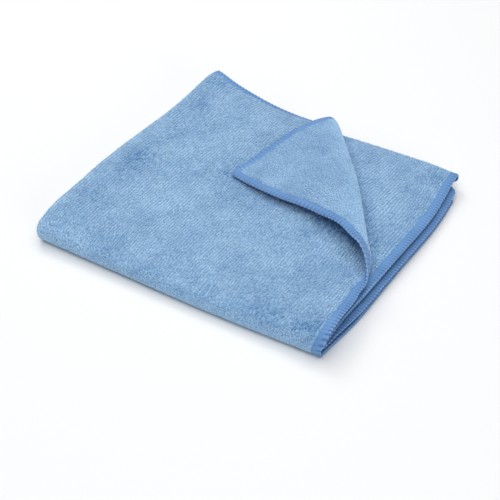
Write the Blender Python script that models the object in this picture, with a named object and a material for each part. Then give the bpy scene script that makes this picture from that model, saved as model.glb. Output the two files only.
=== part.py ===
"""A square microfibre cloth folded in four, lying flat, with its top ply's back right corner turned back.

The cloth is one sheet. Its flat pattern has u across and v away from the front, both zero where the two
folds cross. The first fold runs along u = 0 and lies at the left; the second runs along v = 0 and lies at
the front, round the outside of the first. So u > 0 is the outer ply, which is the top and the bottom of the
pack, and u < 0 the inner ply between them. Every point of the pattern goes through fold(), which wraps it
round the two folds, rolls the top ply's corner back on a cone, curls the inner ply's back hem under, pulls
the plies a little askew, and lifts them where the pack is full.
"""

import bmesh
import bpy
import numpy as np

MM = 0.001

# The flat cloth
HALF_U = 205.2 * MM  # half its width, from the left fold to the right hem
HALF_V = 199.5 * MM  # half its length, from the front fold to the back hem
PILE_THICKNESS = 2.2 * MM
HEM_THICKNESS = 1.5 * MM
HEM_WIDTH = 5.6 * MM
CORNER_RADIUS = 7.0 * MM

# The two folds, measured to the middle of the ply
LEFT_RADIUS = 1.83 * MM  # joins the outer and the inner ply
FRONT_RADIUS = 4.08 * MM  # of the line halfway between those two, round the front
OUTER_RADIUS = FRONT_RADIUS + LEFT_RADIUS  # so of the outer ply, round the front
BOTTOM_LEVEL = PILE_THICKNESS / 2
TOP_LEVEL = BOTTOM_LEVEL + 2 * OUTER_RADIUS
MIDDLE_LEVEL = (BOTTOM_LEVEL + TOP_LEVEL) / 2
CORNER_EASE = 60 * MM  # the plies slip over each other by their full amount this far from the left fold

# How far the folding is out of true
OUTER_SKEW = 9.9 * MM  # the outer ply's front fold runs back by this at the right
INNER_SKEW = 8.5 * MM  # and the inner ply's by this
INNER_SLACK = 3.2 * MM  # the inner ply lies slack, so its back hems are this far short of their place
LOWER_SHIFT = 4.0 * MM  # the lower half lies this far to the right of the upper half
SHIFT_FROM, SHIFT_TO = 10 * MM, -60 * MM  # between these places on v
LEFT_BULGE = 9.4 * MM  # the left fold bows out by this at its middle

# The corner turned back: a cone whose lowest line runs from the back hem to the right hem
CREASE_BACK_X = -5.0 * MM
CREASE_RIGHT_Y = -45.1 * MM
CONE_RADIUS_BACK = 4.68 * MM
CONE_RADIUS_RIGHT = 6.77 * MM
CONE_TURN = np.radians(186)
FLAP_CLEARANCE = 2.8 * MM  # between the middles of the turned corner and of the ply it lies on
FLAP_EASE = 1.5 * MM

# How the turned corner's right hem curls up, and draws in where it rounds the roll
HEM_CURL = 1.2 * MM
HEM_DRAW = 3.2 * MM
HEM_CURL_REACH = 6 * MM

# Where the turned corner is pulled askew, sags or stands up: centre, reach and moves, in mm
FLAP_MOVES = (
    # x, y, reach x, reach y, right, back, rise
    (-24, 6, 16, 24, -2.8, 3.9, -2.3),
    (4, -3, 18, 18, -0.9, 1.9, -0.9),
    (25, -8, 18, 16, -0.9, 2.1, -2.1),
    (47, -12, 16, 12, 3.0, -0.1, -1.2),
    (66, -20, 14, 12, 1.5, 1.5, 1.0),
    (86, -26, 12, 10, -1.5, -1.5, 2.6),
)

# The inner ply's back hem, curled under along a bowed line, which turns in again at the right corner
CURL_Y = 97.5 * MM
CURL_BOW = 4.0 * MM  # the line lies this far back at the sides
CURL_CORNER = 4.2 * MM
CURL_CORNER_FROM, CURL_CORNER_TO = 70 * MM, 106 * MM  # between these places on x
CURL_RADIUS = 1.9 * MM

# Where the pack is full or sunk: centre, reach and height of each swelling of the top ply, in mm
SWELLINGS = (
    # x, y, reach x, reach y, height
    (-90, 95, 45, 40, 9.8),
    (-106, 106, 16, 22, 6.6),
    (-102, -10, 22, 60, 1.1),
    (-100, -80, 30, 25, 2.8),
    (0, 60, 60, 40, 8.8),
    (55, 15, 35, 45, 12.7),
    (104, 104, 28, 28, 4.2),
    (100, 40, 30, 50, -2.9),
    (100, -85, 30, 30, 5.0),
    (0, -96, 120, 12, -1.9),
    (-25, 106, 60, 14, -4.9),
)

# Where the plies are pulled askew: centre, reach, and the moves of the top and of the bottom ply, in mm
PULLS = (
    # x, y, reach x, reach y, top x, top y, bottom x, bottom y
    (104, -100, 55, 40, 2.6, 2.0, -1.0, 0.0),
    (-35, 102, 45, 45, 1.1, -1.8, 0.0, 0.5),
    (-104, 100, 25, 40, 0.0, 3.1, -0.9, 1.2),
    (104, 100, 40, 40, -5.6, -2.2, -4.8, -2.7),
    (20, -104, 60, 35, 1.5, 0.0, 0.0, -1.5),
    (104, 0, 40, 60, 0.5, -3.2, -2.1, -0.2),
)

# Where the folded pack's middle lies, from the middle of the pattern's top quarter
CENTRE_X = -4.20 * MM
CENTRE_Y = 0.40 * MM

# Rows and columns of the grid
LEFT_FOLD_STEPS = 7  # on each side of the left fold
LEFT_FOLD_REACH = 6 * MM  # the most that the left fold takes up on each side
FRONT_FOLD_STEPS = 5  # on each side of the front fold
OUTER_COLUMNS = (8, 8, 6)  # left of the roll's end at the back hem, across it, and right of it
INNER_COLUMNS = 14
ROWS_BEFORE = 10  # from the front fold to the roll, or to the curl
ROWS_ROLL = 8
ROWS_AFTER = 5
ROWS_BELOW = 6  # of the lower half
ROLL_SPAN = 1.08  # the roll's rows reach this much further than the cone turns it
BACK_MARGIN = 11 * MM  # where a column misses the roll, its last rows share this much at the back hem


def ease(low, high, value):
    """0 below low, 1 above high, and a smooth step between them."""
    share = np.clip((value - low) / (high - low), 0, 1)
    return share * share * (3 - 2 * share)


def swelling(x, y):
    """The top ply's rise at a place: the sum of the smooth round swellings in the table."""
    rise = 0
    for centre_x, centre_y, reach_x, reach_y, height in SWELLINGS:
        across = (x / MM - centre_x) / reach_x
        along = (y / MM - centre_y) / reach_y
        rise = rise + height * MM * np.exp(-(across**2) - along**2)
    return rise


def pull(x, y, share):
    """The move of the ply that lies at that share of the pack's height: the sum of the pulls in the table."""
    move_x, move_y = 0, 0
    for centre_x, centre_y, reach_x, reach_y, top_x, top_y, bottom_x, bottom_y in PULLS:
        across = (x / MM - centre_x) / reach_x
        along = (y / MM - centre_y) / reach_y
        felt = MM * np.exp(-(across**2) - along**2)
        move_x = move_x + felt * (bottom_x + (top_x - bottom_x) * share)
        move_y = move_y + felt * (bottom_y + (top_y - bottom_y) * share)
    return move_x, move_y


def rounded(u, v):
    """The flat pattern with its four corners rounded: the square of each corner goes onto a quarter disc."""
    across = np.clip((np.abs(u) - HALF_U + CORNER_RADIUS) / CORNER_RADIUS, 0, 1)
    along = np.clip((np.abs(v) - HALF_V + CORNER_RADIUS) / CORNER_RADIUS, 0, 1)
    u = u - np.sign(u) * CORNER_RADIUS * across * (1 - np.sqrt(1 - along**2 / 2))
    v = v - np.sign(v) * CORNER_RADIUS * along * (1 - np.sqrt(1 - across**2 / 2))
    return u, v


def crease_cone():
    """The cone that the top ply's corner rolls on.

    Its lowest line, the crease, runs from the back hem to the right hem. Returns the cone's tip, the
    crease's direction, the way across it, and the sine of the cone's half angle.
    """
    back_hem = HALF_V / 2 + OUTER_RADIUS * (1 - np.pi / 2)
    right_hem = HALF_U / 2 + LEFT_RADIUS * (1 - np.pi / 2)
    start = np.array([CREASE_BACK_X, back_hem])
    line = np.array([right_hem, CREASE_RIGHT_Y]) - start
    length = np.hypot(*line)
    along = line / length
    across = np.array([-along[1], along[0]])
    slope = (CONE_RADIUS_RIGHT - CONE_RADIUS_BACK) / length
    tip = start - along * CONE_RADIUS_BACK / slope
    return tip, along, across, slope


def flap_move(x, y):
    """The move of the turned corner at a place, right, back and up: the sum of the moves in the table."""
    move = np.zeros((3, *np.shape(x)))
    for centre_x, centre_y, reach_x, reach_y, *most in FLAP_MOVES:
        across = (x / MM - centre_x) / reach_x
        along = (y / MM - centre_y) / reach_y
        move = move + MM * np.multiply.outer(most, np.exp(-(across**2) - along**2))
    return move


def turn_back(x, y):
    """Rolls what lies past the crease round the cone.

    A point keeps its distance from the cone's tip. Its angle from the crease is wound round the cone, and
    what is left of the angle after CONE_TURN lies in the plane that leaves the cone there. The right hem
    curls up and is drawn in, and what has turned over is moved by the table's moves. Returns the new x and
    y, the height above the ply, and which points are past the crease.
    """
    tip, along, across, slope = crease_cone()
    level = np.sqrt(1 - slope**2)
    from_tip_x, from_tip_y = x - tip[0], y - tip[1]
    line = from_tip_x * along[0] + from_tip_y * along[1]
    over = from_tip_x * across[0] + from_tip_y * across[1]
    distance = np.hypot(line, over)
    angle = np.arctan2(over, line)
    wound = np.clip(angle / slope, 0, CONE_TURN)
    rest = angle - wound * slope
    cos_wound, sin_wound = np.cos(wound), np.sin(wound)
    # The cone's line through the point, and the way round the cone from it, each as crease, across and up
    ray = (level**2 + slope**2 * cos_wound, slope * sin_wound, level * slope * (1 - cos_wound))
    way = (-slope * sin_wound, cos_wound, level * sin_wound)
    put = [distance * (np.cos(rest) * r + np.sin(rest) * w) for r, w in zip(ray, way)]
    height = put[2]
    resting = FLAP_CLEARANCE + FLAP_EASE * np.logaddexp(0, (height - FLAP_CLEARANCE) / FLAP_EASE)
    turned = ease(np.pi / 2, np.pi, wound)
    right_hem = HALF_U / 2 + LEFT_RADIUS * (1 - np.pi / 2)
    near_hem = 1 - ease(0, HEM_CURL_REACH, right_hem - x)
    height = height + (resting - height + HEM_CURL * near_hem) * turned
    drawn = put[1] - HEM_DRAW * near_hem * sin_wound**2
    new_x = tip[0] + put[0] * along[0] + drawn * across[0]
    new_y = tip[1] + put[0] * along[1] + drawn * across[1]
    move = flap_move(new_x, new_y) * turned
    return new_x + move[0], new_y + move[1], height + move[2], angle > 0


def fold(u, v):
    """The place of the middle of the cloth, as an array of x, y and z, for points of the flat pattern."""
    u, v = rounded(u, v)
    from_left = np.abs(u)
    # The first fold: a half circle between the two plies, wider where the swellings will part them
    fullness = 1 + swelling(-HALF_U / 2, np.abs(v) - HALF_V / 2) / (TOP_LEVEL - BOTTOM_LEVEL)
    left_radius = LEFT_RADIUS * fullness
    turn = np.minimum(from_left / left_radius, np.pi / 2)
    x = left_radius * (1 - np.cos(turn)) + np.maximum(from_left - left_radius * np.pi / 2, 0)
    x = x - HALF_U / 2
    off_middle = np.sign(u) * LEFT_RADIUS * np.sin(turn)
    # The second fold: a half circle round the front, wider for the outer ply
    skewed = v + np.where(u < 0, INNER_SKEW, OUTER_SKEW) * from_left / HALF_U
    slip = ease(0, CORNER_EASE, from_left)
    quarter = np.pi / 2 * (FRONT_RADIUS + off_middle * slip)
    radius = FRONT_RADIUS + off_middle
    bend = np.clip(np.abs(skewed) / quarter, 0, 1) * np.pi / 2
    y = np.maximum(np.abs(skewed) - quarter, 0) - radius * np.cos(bend)
    y = y + OUTER_RADIUS - HALF_V / 2
    z = MIDDLE_LEVEL + np.sign(skewed) * radius * np.sin(bend)
    y = y - np.where(u < 0, INNER_SLACK, 0) * slip * ease(0, HALF_V, np.abs(v))
    # The lower half lies further right, and the upper half bows out at the left
    x = x + LOWER_SHIFT * ease(-SHIFT_FROM, -SHIFT_TO, -v)
    bow = np.clip(-2 * x / HALF_U, 0, 1) ** 1.5 * np.cos(np.clip(2 * y / HALF_V, -1, 1) * np.pi / 2)
    x = x - LEFT_BULGE * bow * ease(0, LEFT_RADIUS, z - MIDDLE_LEVEL + LEFT_RADIUS)
    # The top ply's corner
    turned_x, turned_y, height, past = turn_back(x, y)
    past = past & (u > 0) & (v > 0)
    x = np.where(past, turned_x, x)
    y = np.where(past, turned_y, y)
    z = np.where(past, TOP_LEVEL + height, z)
    # The inner ply's back hem
    corner = CURL_CORNER * ease(CURL_CORNER_FROM, CURL_CORNER_TO, x)
    curl_line = CURL_Y + CURL_BOW * (2 * x / HALF_U) ** 2 - corner
    beyond = y - curl_line
    curl = np.clip(beyond / CURL_RADIUS, 0, np.pi)
    curled = (u < 0) & (v > 0) & (beyond > 0)
    flat_rest = np.maximum(beyond - np.pi * CURL_RADIUS, 0)
    y = np.where(curled, curl_line + CURL_RADIUS * np.sin(curl) - flat_rest, y)
    z = np.where(curled, z - CURL_RADIUS * (1 - np.cos(curl)), z)
    # The swellings lift each ply by its share of the pack's height, so the bottom stays flat
    share = np.clip((z - BOTTOM_LEVEL) / (TOP_LEVEL - BOTTOM_LEVEL), 0, 1)
    move_x, move_y = pull(x, y, share)
    x, y = x + move_x, y + move_y
    z = z + share * swelling(x, y)
    return np.stack([x - CENTRE_X, y - CENTRE_Y, z], axis=-1)


def normals(u, v):
    """Unit normals of the folded sheet, from small steps across and along the pattern."""
    step = 0.05 * MM
    across = fold(u + step, v) - fold(u - step, v)
    along = fold(u, v + step) - fold(u, v - step)
    normal = np.cross(across, along)
    return normal / np.linalg.norm(normal, axis=-1, keepdims=True)


def thickness(u, v):
    """The pile's thickness inside, and the hem's along all four edges."""
    from_edge = np.minimum(HALF_U - np.abs(u), HALF_V - np.abs(v))
    inside = ease(0.7 * HEM_WIDTH, 1.3 * HEM_WIDTH, from_edge)
    return HEM_THICKNESS + (PILE_THICKNESS - HEM_THICKNESS) * inside


def column_places():
    """The grid's columns: close round the left fold and where the back hem rolls over, wider elsewhere."""
    close = np.linspace(0, LEFT_FOLD_REACH, LEFT_FOLD_STEPS + 1)
    tip, along, across, slope = crease_cone()
    roll_start = CREASE_BACK_X + HALF_U / 2 + LEFT_RADIUS * (np.pi / 2 - 1)
    roll_end = roll_start + CONE_TURN * CONE_RADIUS_BACK / across[0]
    marks = (LEFT_FOLD_REACH, roll_start, roll_end, HALF_U - HEM_WIDTH)
    outer = [np.linspace(a, b, n + 1)[1:] for a, b, n in zip(marks, marks[1:], OUTER_COLUMNS)]
    inner = np.linspace(LEFT_FOLD_REACH, HALF_U - HEM_WIDTH, INNER_COLUMNS + 1)[1:]
    hem = np.array([HALF_U - HEM_WIDTH / 2, HALF_U])
    return np.concatenate([-hem[::-1], -inner[::-1], -close[:0:-1], close, *outer, hem])


def row_places(u):
    """The grid's rows in each column.

    Rows of the roll follow lines through the cone's tip, so that they cross the roll squarely; where a
    column misses it, they gather at the back hem. The others share what is left evenly.
    """
    tip, along, across, slope = crease_cone()
    quarter = np.pi / 2 * OUTER_RADIUS
    x = u - LEFT_RADIUS * (np.pi / 2 - 1) - HALF_U / 2
    angle = np.linspace(0, ROLL_SPAN * CONE_TURN, ROWS_ROLL + 1)[:, None] * slope
    line_x = along[0] * np.cos(angle) + across[0] * np.sin(angle)
    line_y = along[1] * np.cos(angle) + across[1] * np.sin(angle)
    y = tip[1] + (x - tip[0]) * line_y / line_x
    roll = y - OUTER_RADIUS + HALF_V / 2 + quarter - OUTER_SKEW * u / HALF_U
    after = roll[-1] + (HALF_V - roll[-1]) * (np.arange(1, ROWS_AFTER + 1) / ROWS_AFTER)[:, None]
    rolled = np.where(u > 0, np.concatenate([roll, after]), np.inf)
    back_rows = np.linspace(HALF_V - BACK_MARGIN, HALF_V, len(rolled))[:, None]
    upper = np.minimum(rolled, back_rows)
    fold_line = -np.where(u < 0, INNER_SKEW, OUTER_SKEW) * np.abs(u) / HALF_U
    front_rows = np.linspace(-quarter, quarter, 2 * FRONT_FOLD_STEPS + 1)[:, None] + fold_line
    before = np.arange(1, ROWS_BEFORE + 1)[:, None] / (ROWS_BEFORE + 1)
    before_rows = front_rows[-1] + before * (upper[0] - front_rows[-1])
    below = np.arange(ROWS_BELOW)[:, None] / ROWS_BELOW
    below_rows = HEM_WIDTH - HALF_V + below * (front_rows[0] + HALF_V - HEM_WIDTH)
    hem_rows = np.array([[-HALF_V], [HEM_WIDTH / 2 - HALF_V]]) + 0 * u
    return np.concatenate([hem_rows, below_rows, front_rows, before_rows, upper])


def build_cloth():
    """The folded sheet as one closed mesh: two faces, half the thickness off the middle, and a rim."""
    columns = column_places()
    v = row_places(columns)
    u = columns + 0 * v
    middle = fold(u, v)
    half = normals(u, v) * thickness(u, v)[..., None] / 2
    rows, wide = u.shape
    count = rows * wide
    mesh = bpy.data.meshes.new("cloth")
    body = bmesh.new()
    points = np.concatenate([(middle + half).reshape(-1, 3), (middle - half).reshape(-1, 3)])
    corners = [body.verts.new(point) for point in points]
    grid = np.arange(count).reshape(rows, wide)
    for row in range(rows - 1):
        for column in range(wide - 1):
            ring = grid[row : row + 2, column : column + 2]
            face = (ring[0, 0], ring[0, 1], ring[1, 1], ring[1, 0])
            body.faces.new([corners[i] for i in face])
            body.faces.new([corners[i + count] for i in face[::-1]])
    rim = np.concatenate([grid[0], grid[1:, -1], grid[-1, -2::-1], grid[-2:0:-1, 0]])
    for here, there in zip(rim, np.roll(rim, -1)):
        body.faces.new([corners[i] for i in (there, here, here + count, there + count)])
    bmesh.ops.recalc_face_normals(body, faces=body.faces)
    body.to_mesh(mesh)
    body.free()
    mesh.shade_smooth()
    return mesh


def microfibre():
    """Light blue polyester pile: matt, with a soft sheen."""
    material = bpy.data.materials.new("light blue microfibre")
    material.use_nodes = True
    shader = material.node_tree.nodes["Principled BSDF"]
    shader.inputs["Base Color"].default_value = (0.25, 0.41, 0.64, 1)
    shader.inputs["Roughness"].default_value = 0.9
    shader.inputs["Metallic"].default_value = 0.0
    return material


def main():
    for leftover in list(bpy.data.objects):
        bpy.data.objects.remove(leftover, do_unlink=True)
    mesh = build_cloth()
    mesh.materials.append(microfibre())
    cloth = bpy.data.objects.new("cloth", mesh)
    bpy.context.scene.collection.objects.link(cloth)


main()
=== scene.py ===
"""The looks of a light blue microfibre cloth, folded in four with one corner turned back.

The cloth is one sheet. Its flat pattern has u across and v away from the front, both zero where the two
folds cross. lay() gives the place of any point of the pattern in the folded cloth, so the ground knit, the
tufts of pile, the overlocked hem and its thread are all worked out flat and then folded together.
"""

import bpy
import numpy as np
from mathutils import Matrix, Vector


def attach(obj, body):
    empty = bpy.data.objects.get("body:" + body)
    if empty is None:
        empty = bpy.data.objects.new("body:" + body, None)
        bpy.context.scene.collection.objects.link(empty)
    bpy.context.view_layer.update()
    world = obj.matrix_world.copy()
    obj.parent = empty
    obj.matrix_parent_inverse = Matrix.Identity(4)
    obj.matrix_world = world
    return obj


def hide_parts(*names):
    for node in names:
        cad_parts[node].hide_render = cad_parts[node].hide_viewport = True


MM = 0.001

# The flat cloth
HALF_U = 205.2 * MM
HALF_V = 199.5 * MM
PILE_THICKNESS = 2.2 * MM
HEM_WIDTH = 5.6 * MM
CORNER_RADIUS = 7.0 * MM

# The two folds, measured to the middle of the ply
LEFT_RADIUS = 1.83 * MM
FRONT_RADIUS = 4.08 * MM
OUTER_RADIUS = FRONT_RADIUS + LEFT_RADIUS
BOTTOM_LEVEL = PILE_THICKNESS / 2
TOP_LEVEL = BOTTOM_LEVEL + 2 * OUTER_RADIUS
MIDDLE_LEVEL = (BOTTOM_LEVEL + TOP_LEVEL) / 2
CORNER_EASE = 60 * MM

# How far the folding is out of true
OUTER_SKEW = 9.9 * MM
INNER_SKEW = 8.5 * MM
INNER_SLACK = 3.2 * MM
LOWER_SHIFT = 4.0 * MM
SHIFT_FROM, SHIFT_TO = 10 * MM, -60 * MM
LEFT_BULGE = 9.4 * MM

# The corner turned back over a cone
CREASE_BACK_X = -5.0 * MM
CREASE_RIGHT_Y = -45.1 * MM
CONE_RADIUS_BACK = 4.68 * MM
CONE_RADIUS_RIGHT = 6.77 * MM
CONE_TURN = np.radians(186)
FLAP_CLEARANCE = 2.8 * MM
FLAP_EASE = 1.5 * MM

# How the turned corner's right hem curls up, and draws in where it rounds the roll
HEM_CURL = 1.2 * MM
HEM_DRAW = 3.2 * MM
HEM_CURL_REACH = 6 * MM

# Where the turned corner is pulled askew, sags or stands up: centre, reach and moves, in mm
FLAP_MOVES = (
    # x, y, reach x, reach y, right, back, rise
    (-24, 6, 16, 24, -2.8, 3.9, -2.3),
    (4, -3, 18, 18, -0.9, 1.9, -0.9),
    (25, -8, 18, 16, -0.9, 2.1, -2.1),
    (47, -12, 16, 12, 3.0, -0.1, -1.2),
    (66, -20, 14, 12, 1.5, 1.5, 1.0),
    (86, -26, 12, 10, -1.5, -1.5, 2.6),
)

# The inner ply's back hem, curled under
CURL_Y = 97.5 * MM
CURL_BOW = 4.0 * MM
CURL_CORNER = 4.2 * MM
CURL_CORNER_FROM, CURL_CORNER_TO = 70 * MM, 106 * MM
CURL_RADIUS = 1.9 * MM

# Where the pack is full or sunk, in mm
SWELLINGS = (
    # x, y, reach x, reach y, height
    (-90, 95, 45, 40, 9.8),
    (-106, 106, 16, 22, 6.6),
    (-102, -10, 22, 60, 1.1),
    (-100, -80, 30, 25, 2.8),
    (0, 60, 60, 40, 8.8),
    (55, 15, 35, 45, 12.7),
    (104, 104, 28, 28, 4.2),
    (100, 40, 30, 50, -2.9),
    (100, -85, 30, 30, 5.0),
    (0, -96, 120, 12, -1.9),
    (-25, 106, 60, 14, -4.9),
)

# Where the plies are pulled askew: centre, reach, and the moves of the top and of the bottom ply, in mm
PULLS = (
    # x, y, reach x, reach y, top x, top y, bottom x, bottom y
    (104, -100, 55, 40, 2.6, 2.0, -1.0, 0.0),
    (-35, 102, 45, 45, 1.1, -1.8, 0.0, 0.5),
    (-104, 100, 25, 40, 0.0, 3.1, -0.9, 1.2),
    (104, 100, 40, 40, -5.6, -2.2, -4.8, -2.7),
    (20, -104, 60, 35, 1.5, 0.0, 0.0, -1.5),
    (104, 0, 40, 60, 0.5, -3.2, -2.1, -0.2),
)

# Soft troughs and ridges of the top ply, and where its hem is drawn in before the roll: centre, reach and
# moves, in mm
DENTS = (
    # x, y, reach x, reach y, right, back, rise
    (-90, 63, 8, 15, 0, 0, -1.3),
    (-86, -7, 10, 14, 0, 0, -1.8),
    (-90, -44, 8, 18, 0, 0, -1.0),
    (-76, 20, 9, 30, 0, 0, 0.7),
    (67, -91, 8, 6, 0, 0, -1.0),
    (46, -88, 7, 5, 0, 0, -0.6),
    (82, -60, 14, 12, 0, 0, 0.8),
    (20, -40, 20, 14, 0, 0, -0.7),
    (-20, 20, 12, 22, 0, 0, -0.6),
    (102, -47, 10, 10, -2.0, 0, 0.6),
)
TOP_SHARE = 0.9  # the top ply is what lies above this share of the pack's height

# Where the pile of the outer side, 1, or of the reverse, -1, is lighter or darker: the nap, and in some marks
# painted shade, as along the trough inside the left fold, and painted shadow round the turned corner's tip
# and
# in the mouth under its hem: centre and reach on the pattern, in mm, and change of tone
NAP_AND_PAINTED_SHADE_MARKS = (
    # side, u, v, reach u, reach v, tone
    # darker along the trough inside the left fold: painted shade of the trough, with the nap
    (1, 16, 190, 7, 7, -0.34),
    (1, 38, 188, 10, 6, -0.15),
    (1, 20, 158, 8, 12, -0.32),
    (1, 22, 130, 10, 10, -0.32),
    (1, 22, 97, 10, 12, -0.38),
    (1, 21, 73, 12, 10, -0.34),
    (1, 3, 104, 5, 22, 0.24),
    (1, 18, 53, 10, 10, -0.14),
    (1, 40, 49, 9, 9, -0.15),
    (1, 18, 6, 8, 6, -0.16),
    (1, 28, 4, 12, 6, 0.28),
    (1, 47, 21, 11, 7, 0.16),
    (1, 50, 147, 14, 12, 0.16),
    (1, 54, 80, 12, 12, 0.18),
    (1, 67, 57, 11, 8, 0.16),
    (1, 87, 26, 9, 7, 0.12),
    (1, 116, 56, 14, 10, 0.32),
    (1, 117, 75, 9, 7, 0.12),
    (1, 141, 60, 10, 9, -0.14),
    (1, 175, 40, 24, 22, -0.10),
    (1, 104, 10, 13, 8, -0.18),
    (1, 125, 5, 11, 6, -0.20),
    (1, 154, 0, 9, 6, -0.24),
    (1, 167, 1, 8, 7, -0.44),
    (1, 193, 1, 12, 9, -0.50),
    # painted shadow round the turned corner's tip and in the mouth under its hem
    (1, 73, 110, 12, 9, -0.38),
    (1, 138, 90, 10, 4, -0.45),
    (1, 153, 87, 11, 5, -0.60),
    (1, 167, 84, 9, 5, -0.60),
    (1, 177, 81, 7, 4, -0.40),
    (-1, 191, 165, 14, 14, 0.32),
    (-1, 194, 113, 15, 18, 0.34),
    (-1, 153, 163, 12, 9, -0.24),
    (-1, 154, 139, 8, 9, -0.24),
    (-1, 138, 184, 8, 8, 0.14),
    (-1, -168, 126, 10, 9, 0.34),
    (-1, -148, 165, 12, 9, -0.20),
    (-1, -188, 174, 14, 12, -0.32),
)
# the marks may take the pile past its deep colour, for the painted shadow under the turned corner
DARKEST = -0.12  # the least shade, where 0 gives the material's deep colour and 1 its light one

# The folded pack's middle, from the middle of the pattern's top quarter
CENTRE_X = -4.20 * MM
CENTRE_Y = 0.40 * MM

# The knitted ground under the pile, its tone, darker than the pile's as painted shade between the tufts, and
# the rows and columns of its grid
GROUND_THICKNESS = 1.3 * MM
HEM_GROUND_THICKNESS = 0.7 * MM
GROUND_THINS = (1.2, 0.7)  # from full to hem thickness between these shares of the hem's width
GROUND_TONE = 0.45
GROUND_TONE_SPREAD = 0.2
GROUND_TONE_CELL = 3 * MM
LEFT_FOLD_REACH = 6 * MM  # the columns stand close this far on each side of the left fold
LEFT_FOLD_COLUMNS = 12
OUTER_COLUMNS = (36, 26, 28)  # left of the roll's end at the back hem, across it, and right of it
INNER_COLUMNS = 60
HEM_STEPS = 4
ROLL_SPAN = 1.08  # the roll's rows reach this much further than the cone turns it
BACK_MARGIN = 18 * MM  # where a column misses the roll, its last rows share this much at the back hem

# Pile: tufts in ribs along v, and finer loose ones on the front fold and where the turned corner opens them
RIB_PITCH = 1.9 * MM
RIB_SWAY = 0.6 * MM  # how far a rib wanders sideways
RIB_SWAY_CELL = 7 * MM  # and over what length
TUFT_PITCH = 2.6 * MM
TUFT_STRAY = (0.2 * MM, 0.9 * MM)  # how far a tuft may lie from its place, across its rib and along it
TUFT_SIZE = np.array([1.04, 2.5, 0.5]) * MM  # half its width, length and height
LOOSE_PITCH = 1.05 * MM
LOOSE_STRAY = (0.4 * MM, 0.4 * MM)
LOOSE_SIZE = np.array([0.62, 0.74, 0.46]) * MM
PILE_TOP = 1.1 * MM  # the tufts' tips, off the middle of the ply
PILE_EDGE = HEM_WIDTH + 0.3 * MM  # the pile starts this far from the cloth's edge
PILE_EDGE_SPREAD = 0.5 * MM
PILE_EDGE_CELL = 2.5 * MM

# How tufts differ: in shares of their size, by chance and in patches, and in how far their middles lean over,
# by chance and with the nap
WIDTH_VARIES, LENGTH_VARIES, HEIGHT_VARIES = 0.08, 0.15, 0.16
PATCH_HEIGHT = 0.10
ACROSS_LEAN, ACROSS_NAP_LEAN = 0.10 * MM, 0.08 * MM
ALONG_LEAN, ALONG_NAP_LEAN = 0.16 * MM, 0.16 * MM
NAP_CELL = 14 * MM
PATCH_CELL = 5 * MM

# Where there is pile, so that none is laid out of sight
FRONT_LOOSE = (-9 * MM, 5 * MM)  # loose between these distances past the front fold, from below to above
LEFT_RIBS = 3  # the pile of the outer side runs on round the left fold for this many ribs
CORNER_FROM = -4 * MM  # on the turned corner's reverse from here past the crease
UNDER_CORNER_FROM = 16 * MM  # on its outer side up to here past the crease, and in its margin
UNDER_CORNER_MARGIN = 20 * MM
BARED_FROM = -26 * MM  # on the ply that it bares from here past the crease
BARED_FROM_LEFT = 4 * MM  # and from here past the left fold
SEEN_DEPTH = 18 * MM  # on the plies' inner sides up to here from the edge

# The pile's tone: as a rule, and how far it varies from tuft to tuft, more so where the marks and the painted
# shade darken it, with the nap, in patches, and the painted shade that darkens a tuft from its tip down
PILE_TONE = 0.65
TUFT_TONE = 0.11
PARTED_TONE = 0.5
MOST_PARTED = 0.4
NAP_TONE = 0.20
PATCH_TONE = 0.15
# painted shade towards a tuft's root, where the tufts shade each other
TUFT_PAINTED_SHADE = 0.16

# Painted light where the front fold, the left fold and the turned corner's roll bend round, partly pile that
# the bend opens, and painted shadow on the ply beside the roll: change of tone, and the middle and the reach
# of the change, in mm past the front fold, the left fold or the crease
FRONT_OPEN_AND_PAINTED_LIGHT = (0.34, -4, 5)
LEFT_OPEN_AND_PAINTED_LIGHT = (0.2, 0, 5)
ROLL_OPEN_AND_PAINTED_SHEEN = (0.26, 9, 8)
BESIDE_ROLL_PAINTED_SHADOW = (-0.3, 5, 5)

# Hem: overlock thread wound round the edge, and the thread that locks it along the edge
STITCH_PITCH = 2.8 * MM
STITCH_STEPS = 8
HEM_HALF_THICKNESS = 0.64 * MM
HEM_CLOSES = HEM_WIDTH + 0.8 * MM  # the sleeve of thread closes inside the cloth, this far from the edge
BAND_SLANT = 0.7 * MM  # each turn of thread runs over by this across the band
BAND_FACE = (1, 0.84, 0.6, 0.36, 0.2, 0.08, 0)  # places across the band, in shares of its width
BAND_RELIEF = 0.04 * MM  # all over the band
BORDER_RELIEF = 0.36 * MM  # and so much more at a border of full strength
INNER_BORDER = (0.35, HEM_WIDTH)  # how strong a border is, and how far it lies from the edge
OUTER_BORDER = (1, 1.2 * MM)
BORDER_REACH = 1.0 * MM
THREAD_ROUNDNESS = 0.7  # the power of the sine that gives a turn's section
THREAD_MIDDLE = 0.7  # a turn is level with the band at this share of its rise
BAND_UNEVEN = 0.35 * MM  # how far the inner line wanders
BAND_UNEVEN_CELL = 9 * MM
BAND_TONE = 0.78
BAND_TONE_LEVEL = 0.85  # a turn has the band's tone at this share of its rise
# painted shade between the turns of thread, and more of it at the borders
TURN_PAINTED_SHADE = 0.1  # how much darker it is between two turns, all over the band
BORDER_PAINTED_SHADE = 0.9  # and so much more at a border of full strength
BAND_TONE_UNEVEN = 0.10
EDGE_THREAD_RADIUS = 0.36 * MM
EDGE_THREAD_OUT = 0.05 * MM  # its middle lies this far outside the cloth's edge
EDGE_THREAD_UP = 0.32 * MM  # and this far off the middle of the ply, towards its outer side
BEAD_WAIST = 0.3  # its radius between two beads, and how much a bead adds, in shares of EDGE_THREAD_RADIUS
BEAD_SWELL = 1.2
# the beads are lighter than the waists between them: painted shade at the waists
WAIST_PAINTED_SHADE = 0.9

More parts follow.
